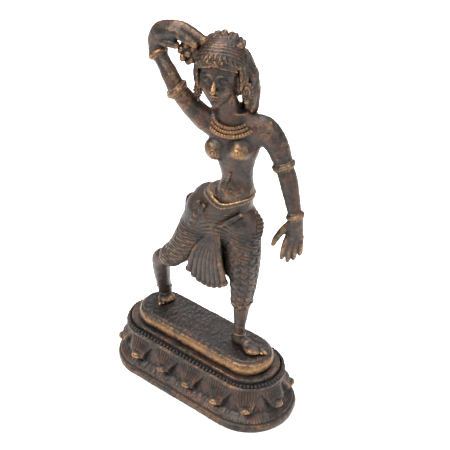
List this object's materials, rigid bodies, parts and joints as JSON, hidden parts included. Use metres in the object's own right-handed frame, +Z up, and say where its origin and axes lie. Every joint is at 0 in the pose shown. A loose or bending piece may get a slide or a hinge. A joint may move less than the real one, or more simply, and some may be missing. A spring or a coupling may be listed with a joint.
{
  "type": "standing brass dancer figure on lotus pedestal",
  "caption": "Cast brass figure of a dancer with one raised arm, standing on a slab over a long lotus pedestal with a hollow underside.",
  "frame": {"origin": "centre of the pedestal's foot, on the surface that it stands on", "axes": "+Z up; the figure faces -Y, so its right side is at -X; the pedestal's long side runs along X"},
  "size_m": [0.082, 0.036, 0.1549],
  "materials": {
    "patina_brass": "dark brown patina, satin, cast texture",
    "worn_brass": "patina rubbed through to warm brass on high places"
  },
  "bodies": {
    "root": {"pedestal": "patina_brass", "lotus_petals": "patina_brass", "bead_ring": "patina_brass", "plinth": "worn_brass", "plinth_tangs": "patina_brass", "right_foot": "patina_brass", "left_foot": "patina_brass", "right_shin": "patina_brass", "left_shin": "patina_brass", "dhoti_right_leg": "patina_brass", "dhoti_left_leg": "patina_brass", "hips": "patina_brass", "pleated_fan": "patina_brass", "belt": "worn_brass", "right_hip_knot": "patina_brass", "left_hip_knot": "patina_brass", "torso": "patina_brass", "waist_cord": "patina_brass", "inner_necklace": "worn_brass", "outer_necklace": "worn_brass", "right_upper_arm": "patina_brass", "right_elbow_band": "worn_brass", "right_forearm": "patina_brass", "right_wrist_band": "worn_brass", "right_hand": "patina_brass", "left_upper_arm": "patina_brass", "left_elbow_band": "worn_brass", "left_forearm": "patina_brass", "left_wrist_band": "worn_brass", "left_hand": "patina_brass", "neck": "patina_brass", "head": "patina_brass", "brow_band": "worn_brass", "hair": "patina_brass", "crown_curls": "patina_brass", "side_bun": "patina_brass", "hair_tress": "patina_brass", "right_ear_ornament": "worn_brass", "left_ear_ornament": "worn_brass"}
  },
  "joints": []
}
